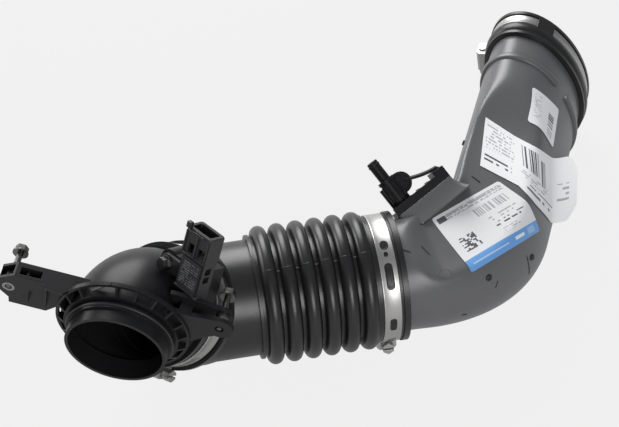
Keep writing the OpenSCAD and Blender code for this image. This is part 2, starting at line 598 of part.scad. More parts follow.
// End coupler and its oval clamp, measured back from the duct's end
module end_coupler() rest() at(oval_axis) color([0.11, 0.11, 0.11])
  translate([0, 0, -coupler_overlap]) difference() {
    union() {
      linear_extrude(coupler_len) oval(oval_long + 2 * coupler_wall, oval_short + 2 * coupler_wall);
      for (z = [0.6, 5, coupler_len - 3])
        translate([0, 0, z]) linear_extrude(3) oval(oval_long + 2 * coupler_wall + 2 * coupler_rim_h,
          oval_short + 2 * coupler_wall + 2 * coupler_rim_h);
    }
    translate([0, 0, -cut]) linear_extrude(coupler_len + 2 * cut) oval(oval_long + 0.1, oval_short + 0.1);
  }
band_long = oval_long + 2 * coupler_wall;
band_short = oval_short + 2 * coupler_wall;
end_band_z = coupler_len - coupler_overlap - 4.1 - band_w;
housing_lift = 0.35;
end_worm_at = 119;
end_clip_at = 222;
function oval_point(a) = [band_long / 2 * cos(a), band_short / 2 * sin(a), 0];
function oval_normal(a) = atan2(band_long * sin(a), band_short * cos(a));
function oval_curve(a) = pow(pow(band_long / 2 * sin(a), 2) + pow(band_short / 2 * cos(a), 2), 1.5)
  / (band_long * band_short / 4);
module end_clamp_band() rest() at(oval_axis) color([0.78, 0.78, 0.76])
  translate([0, 0, end_band_z]) oval_tube(band_long + 2 * band_t, band_short + 2 * band_t, band_t, band_w);
end_clamp = oval_axis * shift([0, 0, end_band_z + band_w / 2]) * shift(oval_point(end_worm_at))
  * spin(oval_normal(end_worm_at)) * shift([-oval_curve(end_worm_at), 0, 0]);
module end_clamp_housing() rest() at(end_clamp) color([0.75, 0.75, 0.72]) housing(oval_curve(end_worm_at) + band_t + housing_lift);
module end_clamp_screw() rest() at(end_clamp) color([0.7, 0.7, 0.66]) worm(oval_curve(end_worm_at) + band_t + housing_lift);
module end_clamp_clip() rest() at(oval_axis) color([0.2, 0.19, 0.17])
  translate([0, 0, end_band_z + band_w / 2]) translate(oval_point(end_clip_at)) rotate([0, 0, oval_normal(end_clip_at)])
    translate([band_t + fit_gap, -7, -band_w / 2]) cube([1.6, 14, band_w]);

inlet_elbow();
spigot_seal();
left_bolt();
right_bolt();
left_sleeve();
right_sleeve();
sensor_body();
sensor_seal();
sensor_terminals();
sensor_screw();
bellows_hose();
elbow_clamp_band();
elbow_clamp_housing();
elbow_clamp_screw();
duct_clamp_band();
duct_clamp_housing();
duct_clamp_screw();
duct();
breather_fitting();
breather_seal();
end_coupler();
end_clamp_band();
end_clamp_housing();
end_clamp_screw();
end_clamp_clip();
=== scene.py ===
"""Air intake hose: the looks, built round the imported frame.

Shapes are worked out in millimetres, in the same frames as the part's source, and are
written to their meshes in metres. The pieces come in the order of the air path: duct,
labels, marks, hose, clamps, sensor, breather. Camera, floor and lamps are last.
"""

import bmesh
import bpy
import numpy as np
from mathutils import Matrix


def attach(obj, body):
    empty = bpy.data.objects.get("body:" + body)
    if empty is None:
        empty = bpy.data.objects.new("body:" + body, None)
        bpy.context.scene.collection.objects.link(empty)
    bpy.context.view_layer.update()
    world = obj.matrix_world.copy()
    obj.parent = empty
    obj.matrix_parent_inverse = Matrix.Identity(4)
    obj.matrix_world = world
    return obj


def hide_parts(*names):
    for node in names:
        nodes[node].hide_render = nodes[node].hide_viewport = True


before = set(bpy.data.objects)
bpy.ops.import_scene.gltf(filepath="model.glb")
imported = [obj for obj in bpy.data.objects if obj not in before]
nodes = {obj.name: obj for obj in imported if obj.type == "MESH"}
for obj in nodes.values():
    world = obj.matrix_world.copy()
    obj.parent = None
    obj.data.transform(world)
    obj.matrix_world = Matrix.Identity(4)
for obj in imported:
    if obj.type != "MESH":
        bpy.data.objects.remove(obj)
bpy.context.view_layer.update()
MM = 0.001
TAU = 2 * np.pi


# Frames: 4 by 4 matrices whose Z axis runs along the air path, in millimetres
def shift(x, y, z):
    """A move without a turn."""
    m = np.eye(4)
    m[:3, 3] = x, y, z
    return m


def turn(first, second, degrees):
    """A turn that carries the first axis towards the second."""
    c, s = np.cos(np.radians(degrees)), np.sin(np.radians(degrees))
    m = np.eye(4)
    m[first, first] = m[second, second] = c
    m[second, first], m[first, second] = s, -s
    return m


def spin(degrees):
    """A turn about Z, X towards Y."""
    return turn(0, 1, degrees)


def tip(degrees):
    """A turn about Y, Z towards X."""
    return turn(2, 0, degrees)


def pitch(degrees):
    """A turn about X, Y towards Z."""
    return turn(1, 2, degrees)


def turned(roll, degrees):
    """A tip towards the side that the roll names."""
    return spin(roll) @ tip(degrees) @ spin(-roll)


def bent(roll, degrees, radius):
    """The end of an arc: a tip about an axis one radius away, on the side that the roll names."""
    return spin(roll) @ shift(radius, 0, 0) @ tip(degrees) @ shift(-radius, 0, 0) @ spin(-roll)


REST = shift(-212.42, -0.65, 88.73) @ spin(-49.5) @ tip(7.2) @ pitch(-85.1)
OUTLET = REST @ shift(0, 0, 38) @ turned(50.1, 55.8)
CUFF = OUTLET @ shift(0, 0, 32)
HOSE = CUFF @ shift(0, 0, 40) @ turned(-42.8, 52.2)
FIRST_FOLD, FOLD_PITCH, FOLD_GAPS, END_CUFF = 50.2, 13.1, 5, 26.3
PLAIN_R, CREST_R, FOLD_R = 40.0, 42.8, 5.2
HOSE_LEN = FIRST_FOLD + FOLD_GAPS * FOLD_PITCH + END_CUFF
DUCT = HOSE @ shift(0, 0, HOSE_LEN)
DUCT_R = 39.0
DUCT_WALL = 2.6
DUCT_LAP = 18.0  # length inside the hose's cuff
DUCT_LEAD = 17.0  # straight length before the bend
BEND_R, BEND_TURN, BEND_ROLL = 76.0, 64.4, -166.7
BEND_LEN = BEND_R * np.radians(BEND_TURN)
BEND_START = DUCT @ shift(0, 0, DUCT_LEAD)
BEND_END = BEND_START @ bent(BEND_ROLL, BEND_TURN, BEND_R)
DUCT_RUN = 160.0
DUCT_END = BEND_END @ shift(0, 0, DUCT_RUN)
DUCT_LEN = DUCT_LEAD + BEND_LEN + DUCT_RUN
OVAL_LONG, OVAL_SHORT, OVAL_TURN = 102.0, 62.0, 76.5
ROUND_RUN = 40.0  # length past the bend over which the section is still changing
FLAT_ANGLE, FLAT_DEPTH = -66.0, 12.0
FLAT_START, FLAT_RISE = 3.0, 22.0  # where the flat begins, and the length it takes to reach its depth
FLAT_STOP, FLAT_FALL = 42.0, 56.0  # the same from the duct's far end
FLAT_SOFT, FLAT_BLEND = 7.0, 60.0  # square millimetres: how softly the flat meets the round side
SENSOR_REACH, SENSOR_ANGLE = 55.9, np.radians(-48.5)
SENSOR = (OUTLET @ shift(SENSOR_REACH * np.cos(SENSOR_ANGLE), SENSOR_REACH * np.sin(SENSOR_ANGLE), -8.3)
          @ tip(3) @ pitch(17))
PAD = DUCT @ shift(0, 0, 26.2) @ spin(-125) @ shift(51, 0, 0) @ tip(90) @ spin(90) @ pitch(29.8)
BREATHER = PAD @ shift(0, -13, 0)


def move(matrix, points):
    """Points carried by a frame: its turn times each point, plus its place."""
    return points @ matrix[:3, :3].T + matrix[:3, 3]


def ease(x):
    """3 x squared less 2 x cubed between 0 and 1."""
    c = np.clip(x, 0, 1)
    return c * c * (3 - 2 * c)


# The photograph's camera: columns are right, up, back and the eye
CAMERA = np.array([[0.77626, 0.44067, -0.45080, -620.386], [-0.62901, 0.58907, -0.50729, -638.682],
                   [0.04201, 0.67735, 0.73446, 1038.298], [0, 0, 0, 1]])


# Meshes
def solid(name, points, faces, material, sharp=40, uv=None):
    """A mesh from points in millimetres and quads, turned outwards by its signed volume.

    Six times the volume is the sum, over two triangles of each quad, of the first corner dotted with the
    cross product of the other two.
    """
    points = np.asarray(points, float).reshape(-1, 3)
    faces = np.asarray(faces)
    a, b, c, d = (points[faces[:, i]] for i in range(4))
    volume = (np.einsum("ij,ij->i", a, np.cross(b, c))
              + np.einsum("ij,ij->i", a, np.cross(c, d))).sum()
    if volume < 0:
        faces = faces[:, ::-1]
    mesh = bpy.data.meshes.new(name)
    mesh.from_pydata((points * MM).tolist(), [], faces.tolist())
    mesh.update()
    if uv is not None:
        layer = mesh.uv_layers.new(name="print")
        loops = np.empty(len(mesh.loops), np.int64)
        mesh.loops.foreach_get("vertex_index", loops)
        layer.data.foreach_set("uv", np.asarray(uv, float).reshape(-1, 2)[loops].ravel())
    mesh.shade_smooth()
    mesh.set_sharp_from_angle(angle=np.radians(sharp))
    obj = bpy.data.objects.new(name, mesh)
    bpy.context.scene.collection.objects.link(obj)
    mesh.materials.append(material)
    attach(obj, "root")
    return obj


def grid_faces(rows, columns, wrap_rows, wrap_columns):
    """Quads of a grid of rows by columns, closed round either way."""
    r = np.arange(rows if wrap_rows else rows - 1)[:, None]
    c = np.arange(columns if wrap_columns else columns - 1)[None, :]
    r1, c1 = (r + 1) % rows, (c + 1) % columns
    quads = np.stack([r * columns + c, r * columns + c1, r1 * columns + c1, r1 * columns + c], -1)
    return quads.reshape(-1, 4)


def revolve(name, matrix, profile, material, steps=128, sharp=40):
    """A closed profile of (radius, height) pairs carried round the frame's Z axis."""
    profile = np.asarray(profile, float)
    angle = np.linspace(0, TAU, steps, endpoint=False)
    points = np.stack([profile[:, :1] * np.cos(angle), profile[:, :1] * np.sin(angle),
                       np.broadcast_to(profile[:, 1:], (len(profile), steps))], -1)
    faces = grid_faces(len(profile), steps, True, True)
    return solid(name, move(matrix, points), faces, material, sharp)


def rounded(corners, radius, steps=4):
    """A closed outline with each corner replaced by a quadratic curve.

    The curve runs from a point on the edge before, a radius from the corner, to one on the edge after, and is
    drawn to the corner: (1 - t) squared of the first, 2 t (1 - t) of the corner, t squared of the last.
    """
    corners = np.asarray(corners, float)
    before, after = np.roll(corners, 1, 0) - corners, np.roll(corners, -1, 0) - corners
    long_before, long_after = np.linalg.norm(before, axis=1), np.linalg.norm(after, axis=1)
    reach = np.minimum(radius, 0.45 * np.minimum(long_before, long_after))
    before = corners + before / long_before[:, None] * reach[:, None]
    after = corners + after / long_after[:, None] * reach[:, None]
    t = np.linspace(0, 1, steps)[None, :, None]
    curve = (1 - t) ** 2 * before[:, None] + 2 * t * (1 - t) * corners[:, None] + t * t * after[:, None]
    return curve.reshape(-1, 2)


def block(name, matrix, outline, low, high, material, radius=1.0, soft=0.5):
    """A prism between two heights whose outline is rounded and whose top and bottom edges are softened.

    Its rings are the outline drawn in towards its middle by the softening, and the first and last ring are
    drawn in to nearly a point there.
    """
    ring = rounded(outline, radius)
    middle = ring.mean(0)
    half = np.abs(ring - middle).max(0)
    drawn_in, point = np.maximum(1 - soft / half, 0.02), 0.002
    levels = [(low, point), (low, drawn_in), (low + soft, 1.0),
              (high - soft, 1.0), (high, drawn_in), (high, point)]
    points = np.stack([np.c_[middle + (ring - middle) * scale, np.full(len(ring), z)] for z, scale in levels])
    faces = grid_faces(len(levels), len(ring), False, True)
    obj = solid(name, move(matrix, points), faces, material, sharp=50)
    close_ends(obj)
    return obj


def close_ends(obj):
    """Each open rim gets one face over it."""
    bm = bmesh.new()
    bm.from_mesh(obj.data)
    bmesh.ops.holes_fill(bm, edges=[e for e in bm.edges if e.is_boundary])
    bmesh.ops.recalc_face_normals(bm, faces=bm.faces)
    bm.to_mesh(obj.data)
    bm.free()


# Materials
def group(name, inputs, outputs):
    """A node group with float, colour and vector sockets."""
    tree = bpy.data.node_groups.new(name, "ShaderNodeTree")
    kinds = {"float": "NodeSocketFloat", "color": "NodeSocketColor", "vector": "NodeSocketVector"}
    for label, kind, value in inputs:
        socket = tree.interface.new_socket(label, in_out="INPUT", socket_type=kinds[kind])
        if value is not None:
            socket.default_value = value
    for label, kind in outputs:
        tree.interface.new_socket(label, in_out="OUTPUT", socket_type=kinds[kind])
    return tree, tree.nodes.new("NodeGroupInput"), tree.nodes.new("NodeGroupOutput")


def math_node(tree, operation, a, b=None, c=None):
    """A Math node with values or sockets on its inputs; returns its output."""
    node = tree.nodes.new("ShaderNodeMath")
    node.operation = operation
    for socket, value in zip(node.inputs, (a, b, c)):
        if value is None:
            continue
        if isinstance(value, (int, float)):
            socket.default_value = value
        else:
            tree.links.new(value, socket)
    return node.outputs[0]


def mix_colour(tree, factor, a, b):
    """A Mix node on colours; returns its output."""
    node = tree.nodes.new("ShaderNodeMix")
    node.data_type = "RGBA"
    for socket, value in ((node.inputs[0], factor), (node.inputs[6], a), (node.inputs[7], b)):
        if hasattr(value, "links"):
            tree.links.new(value, socket)
        else:
            socket.default_value = value if isinstance(value, (int, float)) else (*value, 1)
    return node.outputs[2]


def noise(tree, vector, scale, detail=3.0, rough=0.5):
    """A Noise Texture's factor."""
    node = tree.nodes.new("ShaderNodeTexNoise")
    tree.links.new(vector, node.inputs["Vector"])
    if hasattr(scale, "links"):
        tree.links.new(scale, node.inputs["Scale"])
    else:
        node.inputs["Scale"].default_value = scale
    node.inputs["Detail"].default_value = detail
    node.inputs["Roughness"].default_value = rough
    return node.outputs["Fac"]


def make_moulded():
    """Fine grain, cloudy sheen and pale dust, from noise on three scales.

    Dust is the softer minimum of clouds and specks, times its share. Roughness is the given one, plus the
    clouds less a half, times the spread. Grain drives the bump.
    """
    cloud_scale, speck_scale, grain_height = 45.0, 420.0, 0.00006
    tree, given, out = group(
        "moulded_surface",
        [("Vector", "vector", None), ("Colour", "color", (0.03, 0.03, 0.03, 1)),
         ("Pale", "color", (0.1, 0.1, 0.1, 1)), ("Roughness", "float", 0.4), ("Spread", "float", 0.1),
         ("Grain Scale", "float", 2500.0), ("Grain Depth", "float", 0.2), ("Dust", "float", 0.1),
         ("Normal", "vector", None)],
        [("Colour", "color"), ("Roughness", "float"), ("Normal", "vector")])
    vector = given.outputs["Vector"]
    grain = noise(tree, vector, given.outputs["Grain Scale"], 2.0)
    cloud = noise(tree, vector, cloud_scale, 4.0, 0.6)
    speck = noise(tree, vector, speck_scale, 2.0, 0.7)
    dust = math_node(tree, "MULTIPLY", math_node(tree, "SMOOTH_MIN", cloud, speck, 0.2), given.outputs["Dust"])
    colour = mix_colour(tree, dust, given.outputs["Colour"], given.outputs["Pale"])
    tree.links.new(colour, out.inputs["Colour"])
    spread = math_node(tree, "MULTIPLY_ADD", math_node(tree, "SUBTRACT", cloud, 0.5),
                       given.outputs["Spread"], given.outputs["Roughness"])
    tree.links.new(spread, out.inputs["Roughness"])
    bump = tree.nodes.new("ShaderNodeBump")
    bump.inputs["Distance"].default_value = grain_height
    tree.links.new(given.outputs["Grain Depth"], bump.inputs["Strength"])
    tree.links.new(grain, bump.inputs["Height"])
    tree.links.new(given.outputs["Normal"], bump.inputs["Normal"])
    tree.links.new(bump.outputs["Normal"], out.inputs["Normal"])
    return tree


MOULDED = make_moulded()


def material(name, metallic=0.0, **sockets):
    """A Principled BSDF material with Object coordinates; returns material, tree, shader, coordinates."""
    mat = bpy.data.materials.new(name)
    mat.use_nodes = True
    tree = mat.node_tree
    shader = tree.nodes["Principled BSDF"]
    shader.inputs["Metallic"].default_value = metallic
    for label, value in sockets.items():
        shader.inputs[label].default_value = value
    coordinates = tree.nodes.new("ShaderNodeTexCoord").outputs["Object"]
    return mat, tree, shader, coordinates


def moulded(name, colour, pale, roughness, spread=0.12, scale=2500.0, depth=0.25, dust=0.3, edge=0.0004,
            metallic=0.0, **sockets):
    """A moulded, cast or plated finish; edges are rounded by a Bevel normal, edge is its radius in metres."""
    mat, tree, shader, coordinates = material(name, metallic, **sockets)
    node = tree.nodes.new("ShaderNodeGroup")
    node.node_tree = MOULDED
    tree.links.new(coordinates, node.inputs["Vector"])
    for label, value in (("Colour", (*colour, 1)), ("Pale", (*pale, 1)), ("Roughness", roughness),
                         ("Spread", spread), ("Grain Scale", scale), ("Grain Depth", depth), ("Dust", dust)):
        node.inputs[label].default_value = value
    bevel = tree.nodes.new("ShaderNodeBevel")
    bevel.samples = 4
    bevel.inputs["Radius"].default_value = edge
    tree.links.new(bevel.outputs["Normal"], node.inputs["Normal"])
    for output, socket in (("Colour", "Base Color"), ("Roughness", "Roughness"), ("Normal", "Normal")):
        tree.links.new(node.outputs[output], shader.inputs[socket])
    return mat


ELBOW_PLASTIC = moulded("elbow_plastic", (0.008, 0.008, 0.009), (0.03, 0.03, 0.031), 0.36, dust=0.3,
                        **{"Specular IOR Level": 0.2})
DUCT_PLASTIC = moulded("duct_plastic", (0.1, 0.1, 0.103), (0.16, 0.16, 0.165), 0.34, scale=1400.0, depth=0.12,
                       dust=0.35)
HOSE_RUBBER = moulded("hose_rubber", (0.006, 0.006, 0.0065), (0.035, 0.034, 0.032), 0.36, spread=0.2,
                      scale=900.0, depth=0.08, dust=0.4)
SEAL_RUBBER = moulded("seal_rubber", (0.012, 0.012, 0.012), (0.05, 0.05, 0.05), 0.5)
PROBE_SEAL = moulded("probe_seal", (0.2, 0.04, 0.03), (0.3, 0.1, 0.08), 0.5)
SENSOR_PLASTIC = moulded("sensor_plastic", (0.009, 0.009, 0.01), (0.035, 0.035, 0.036), 0.42, scale=3200.0,
                         dust=0.4)
ZINC_STEEL = moulded("zinc_steel", (0.09, 0.088, 0.085), (0.2, 0.195, 0.185), 0.34, metallic=1.0, dust=0.8,
                     edge=0.0003)
SLEEVE_STEEL = moulded("sleeve_steel", (0.25, 0.25, 0.24), (0.4, 0.4, 0.39), 0.4, metallic=1.0)
BAND_STEEL = moulded("band_steel", (0.42, 0.415, 0.4), (0.54, 0.53, 0.51), 0.4, spread=0.2, scale=500.0,
                     depth=0.15, metallic=1.0, dust=0.8, edge=0.0002)
CLAMP_ZINC = moulded("clamp_zinc", (0.3, 0.3, 0.29), (0.46, 0.455, 0.44), 0.5, spread=0.3, scale=700.0,
                     depth=0.4, metallic=1.0, dust=0.9, edge=0.0003)
CLIP_STEEL = moulded("clip_steel", (0.03, 0.028, 0.026), (0.08, 0.075, 0.07), 0.4, metallic=0.6)
TERMINAL_BRASS = moulded("terminal_brass", (0.7, 0.5, 0.2), (0.8, 0.65, 0.35), 0.3, metallic=1.0)
# Painted shade: the moulded ticks and studs are the duct's own plastic, coloured darker here to stand in for the
# shade in and round them
PAINTED_SHADE_MARK = moulded("duct_mark_painted_shade", (0.012, 0.012, 0.013), (0.05, 0.05, 0.05), 0.4, scale=1400.0, depth=0.12)
SLOT_DARK = moulded("slot_shadow_steel", (0.02, 0.02, 0.02), (0.06, 0.06, 0.06), 0.35, metallic=0.5)

FINISH = {
    "inlet_elbow": ELBOW_PLASTIC, "spigot_seal": SEAL_RUBBER, "left_bolt": ZINC_STEEL, "right_bolt": ZINC_STEEL,
    "left_sleeve": SLEEVE_STEEL, "right_sleeve": SLEEVE_STEEL, "sensor_body": SENSOR_PLASTIC,
    "sensor_seal": PROBE_SEAL, "sensor_terminals": TERMINAL_BRASS, "sensor_screw": ZINC_STEEL,
    "bellows_hose": HOSE_RUBBER, "elbow_clamp_band": BAND_STEEL, "elbow_clamp_housing": CLAMP_ZINC,
    "elbow_clamp_screw": CLAMP_ZINC, "duct_clamp_band": BAND_STEEL, "duct_clamp_housing": CLAMP_ZINC,
    "duct_clamp_screw": CLAMP_ZINC, "duct": DUCT_PLASTIC, "breather_fitting": ELBOW_PLASTIC,
    "breather_seal": SEAL_RUBBER, "end_coupler": HOSE_RUBBER, "end_clamp_band": BAND_STEEL,
    "end_clamp_housing": CLAMP_ZINC, "end_clamp_screw": CLAMP_ZINC, "end_clamp_clip": CLIP_STEEL}
for node_name, finish in FINISH.items():
    slots = nodes[node_name].data.materials
    slots.clear()
    slots.append(finish)


# Duct: rings that turn along the bend and change from round to oval, with one side flattened
def duct_frames(s):
    """The duct's frames at distances s: straight, then turned about the bend's centre, then straight.

    A turn by an angle is a fixed matrix, plus its cosine times a second, plus its sine times a third.
    """
    s = np.asarray(s, float)[..., None, None]
    angle = np.radians(BEND_TURN) * np.clip((s - DUCT_LEAD) / BEND_LEN, 0, 1)
    before = BEND_START @ spin(BEND_ROLL) @ shift(BEND_R, 0, 0)
    after = shift(-BEND_R, 0, 0) @ spin(-BEND_ROLL)
    kept, across, sideways = np.diag([0, 1, 0, 1.0]), np.diag([1, 0, 1.0, 0]), np.zeros((4, 4))
    sideways[0, 2], sideways[2, 0] = 1, -1
    frames = (before @ kept @ after + np.cos(angle) * (before @ across @ after)
              + np.sin(angle) * (before @ sideways @ after))
    along = np.minimum(s - DUCT_LEAD, 0) + np.maximum(s - DUCT_LEAD - BEND_LEN, 0)
    frames[..., :3, 3:] = frames[..., :3, 3:] + along * frames[..., :3, 2:3]
    return frames


def duct_section(s, angle, inset):
    """The ring at s: an ellipse whose halves ease from round to oval, and whose far side is cut back.

    A point's height above the flat, along the flat's direction, is taken off it as a soft maximum with 0: half
    the height plus half the root of its square and the softness, less that root at 0 where the height is small.
    """
    grow = ease(s / (BEND_LEN + ROUND_RUN))
    long = DUCT_R + (OVAL_LONG / 2 - DUCT_R) * grow
    short = DUCT_R + (OVAL_SHORT / 2 - DUCT_R) * grow
    d = np.radians(FLAT_ANGLE + 180 - OVAL_TURN)
    flat = (np.hypot(long * np.cos(d), short * np.sin(d)) - inset
            - FLAT_DEPTH * ease((s - FLAT_START) / FLAT_RISE)
            * ease((BEND_LEN + DUCT_RUN - FLAT_STOP - s) / FLAT_FALL))
    a, o = np.radians(angle), np.radians(OVAL_TURN)
    x, y = (long - inset) * np.cos(a), (short - inset) * np.sin(a)
    x, y = x * np.cos(o) - y * np.sin(o), x * np.sin(o) + y * np.cos(o)
    m = np.cos(np.radians(FLAT_ANGLE)), np.sin(np.radians(FLAT_ANGLE))
    over = x * m[0] + y * m[1] - flat
    over = (0.5 * (over + np.sqrt(over * over + FLAT_SOFT))
            - 0.5 * np.sqrt(FLAT_SOFT) * np.exp(-over * over / FLAT_BLEND))
    return x - over * m[0], y - over * m[1]


def duct_points(s, angle, lift=0.0, inset=0.0):
    """Points of the duct's surface at distances s and ring angles, raised along the surface's normal.

    The normal is the cross product of two differences: half a degree either way round the ring, and half a
    millimetre either way along the duct.
    """
    s, angle = np.broadcast_arrays(np.asarray(s, float), np.asarray(angle, float))

    def place(s_, a_):
        """The ring's point, carried by the duct's frame there."""
        x, y = duct_section(s_, a_, inset)
        return np.einsum("...ij,...j->...i", duct_frames(s_), np.stack([x, y, 0 * x, 1 + 0 * x], -1))[..., :3]

    p = place(s, angle)
    if np.any(lift):
        normal = np.cross(place(s, angle + 0.5) - place(s, angle - 0.5),
                          place(s + 0.5, angle) - place(s - 0.5, angle))
        normal /= np.linalg.norm(normal, axis=-1)[..., None]
        outward = np.sign(((p - duct_frames(s)[..., :3, 3]) * normal).sum(-1))[..., None]
        p = p + normal * outward * np.asarray(lift, float)[..., None]
    return p


def make_duct():
    """The outer wall from end to end and the inner wall back, closed at both rims."""
    s = np.concatenate([[-DUCT_LAP, -DUCT_LAP + 0.6], np.linspace(-DUCT_LAP + 4, DUCT_LEN - 1, 170),
                        [DUCT_LEN - 0.5, DUCT_LEN]])
    back = s[::-1]
    angle = np.linspace(0, 360, 192, endpoint=False)
    rim = np.where((s > s[0]) & (s < s[-1]), 0.0, 0.5)
    outer = duct_points(s[:, None], angle[None, :], inset=rim[:, None])
    inner = duct_points(back[:, None], angle[None, :], inset=(DUCT_WALL - rim)[:, None])
    points = np.concatenate([outer, inner])
    obj = solid("duct_shell", points, grid_faces(len(points), len(angle), True, True), DUCT_PLASTIC, sharp=35)
    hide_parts("duct")


def loft(name, matrix, rings, material, sharp=40):
    """Outlines of one count at given heights, joined in order and closed at both ends."""
    points = np.stack([np.c_[outline, np.full(len(outline), z)] for outline, z in rings])
    faces = grid_faces(len(rings), points.shape[1], False, True)
    obj = solid(name, move(matrix, points), faces, material, sharp)
    close_ends(obj)
    return obj


def box_outline(x0, x1, y0, y1, radius=1.5, steps=6):
    """A rectangle with rounded corners."""
    return rounded([(x0, y0), (x1, y0), (x1, y1), (x0, y1)], radius, steps)


def make_pad():
    """The raised seat under the breather: a narrow top that widens down into the duct, as in the part's solid.

    From 14 mm under the top to 2 mm under it, the outline is the top's, plus what the lower one has more, times
    one less the share of the way up to the power 1.6.
    """
    top, low = box_outline(-10.5, 10.5, -23.5, 23.5, 3), box_outline(-15, 15, -17, 31, 5)
    flare = [(top + (low - top) * (1 - u) ** 1.6, 12 * u - 14) for u in np.linspace(0, 1, 12)]
    obj = loft("breather_pad", PAD, flare + [(top, -0.6), (top * 0.985, 0)], DUCT_PLASTIC, sharp=50)
    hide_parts("duct")


def oval_ring(long, short, angle):
    """Points of the duct's end ellipse, turned as the duct is."""
    a, o = np.radians(angle), np.radians(OVAL_TURN)
    x, y = long / 2 * np.cos(a), short / 2 * np.sin(a)
    return np.stack([x * np.cos(o) - y * np.sin(o), x * np.sin(o) + y * np.cos(o)], -1)


def make_stop_rib():
    """A low rib round the duct's end with a gap on one side.

    Its section is (height over the duct, distance along it), and shrinks over the last degree and a half.
    """
    angle = np.linspace(-94, 253, 160)
    section = np.array([(-1.5, -0.6), (1.2, -0.6), (2.0, -0.1), (2.3, 0.7), (2.3, 3.5), (2.0, 4.3), (1.2, 4.8),
                        (-1.5, 4.8)])
    fade = np.clip(np.minimum(angle - angle[0], angle[-1] - angle) / 1.5, 0.3, 1)[:, None]
    ring = np.stack([oval_ring(OVAL_LONG + 2 * r, OVAL_SHORT + 2 * r, angle) for r, _ in section], 1)
    base = oval_ring(OVAL_LONG - 3, OVAL_SHORT - 3, angle)[:, None]
    ring = base + (ring - base) * fade[..., None]
    z = np.broadcast_to(section[:, 1], ring.shape[:2])
    points = move(DUCT_END @ shift(0, 0, -45), np.concatenate([ring, z[..., None]], -1))
    obj = solid("stop_rib", points, grid_faces(len(angle), len(section), False, True), DUCT_PLASTIC)
    close_ends(obj)
    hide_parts("duct")


make_duct()
make_pad()
make_stop_rib()


# Sheets laid on the duct
PAPER = 0.18
GRID_S, GRID_A = np.meshgrid(np.linspace(-10, DUCT_LEN, 110), np.linspace(0, 360, 120, endpoint=False),
                             indexing="ij")
GRID_P = duct_points(GRID_S, GRID_A)


def drape(points, lift, along):
    """Points slid along one direction until they meet the duct, then raised along the surface's normal.

    Each starts from the nearest sample that faces the direction, seen along it. Eight of Newton's steps then
    solve for the distance along the duct, the ring angle and the way slid.
    """
    along = along / np.linalg.norm(along)
    flat = points.reshape(-1, 3)
    facing = ((duct_points(GRID_S, GRID_A, lift=1.0) - GRID_P) @ along) > 0.15
    s_all, a_all, p_all = GRID_S[facing], GRID_A[facing], GRID_P[facing]

    def nearest(part):
        """The sample with the least squared gap, less its part along the direction."""
        gap = part[:, None] - p_all[None]
        return ((gap ** 2).sum(-1) - (gap @ along) ** 2).argmin(1)

    near = np.concatenate([nearest(part) for part in np.array_split(flat, len(flat) // 128 + 1)])
    s, a = s_all[near].copy(), a_all[near].copy()
    for _ in range(8):
        here = duct_points(s, a)
        sides = np.stack([(duct_points(s + 0.1, a) - here) * 10, (duct_points(s, a + 0.1) - here) * 10,
                          np.broadcast_to(along, here.shape)], -1)
        step = np.linalg.solve(sides, (flat - here)[..., None])[..., 0]
        s += np.clip(step[:, 0], -4, 4)
        a += np.clip(step[:, 1], -6, 6)
    return duct_points(s, a, lift=lift).reshape(points.shape)


def sheet_solid(name, top, thickness, material, uv):
    """A thin closed sheet: the top grid and the same grid moved in along the grid's own normals."""
    rows, columns = top.shape[:2]
    normal = np.cross(np.gradient(top, axis=1), np.gradient(top, axis=0))
    normal /= np.linalg.norm(normal, axis=-1)[..., None]
    low = top - normal * thickness
    count = rows * columns
    faces = grid_faces(rows, columns, False, False)
    edge = np.concatenate([np.arange(columns), np.arange(1, rows) * columns + columns - 1,
                           (rows - 1) * columns + np.arange(columns - 2, -1, -1),
                           np.arange(rows - 2, 0, -1) * columns])
    after = np.roll(edge, -1)
    rim = np.stack([edge, edge + count, after + count, after], -1)
    faces = np.concatenate([faces, faces[:, ::-1] + count, rim])
    return solid(name, np.concatenate([top.reshape(-1, 3), low.reshape(-1, 3)]), faces, material, sharp=50,
                 uv=np.concatenate([uv.reshape(-1, 2)] * 2))


def quad_grid(corners, rows, columns, corner=2.0):
    """A grid between corners given as top left, top right, bottom right, bottom left, and its print map.

    A point is the mean of the four corners, weighted by its shares of the way across and down. Within the
    corner's reach of both edges it is first drawn in to a quarter circle.
    """
    v = np.linspace(0, 1, rows)[:, None, None]
    u = np.linspace(0, 1, columns)[None, :, None]
    tl, tr, br, bl = (np.asarray(c, float) for c in corners)
    u, v = (np.broadcast_to(x, (rows, columns, 1)) for x in (u, v))
    wide, high = np.linalg.norm(tr - tl), np.linalg.norm(bl - tl)
    keep_u, keep_v = np.clip(u * wide, corner, wide - corner), np.clip(v * high, corner, high - corner)
    off = np.concatenate([u * wide - keep_u, v * high - keep_v], -1)
    off *= np.minimum(1, corner / np.maximum(np.linalg.norm(off, axis=-1, keepdims=True), 1e-6))
    u, v = (keep_u + off[..., :1]) / wide, (keep_v + off[..., 1:]) / high
    grid = (1 - v) * ((1 - u) * tl + u * tr) + v * ((1 - u) * bl + u * br)
    return grid, np.concatenate([u, 1 - v], -1)


def on_duct(s, angle):
    """One point of the duct's surface."""
    return duct_points(np.array([s]), np.array([angle]))[0]


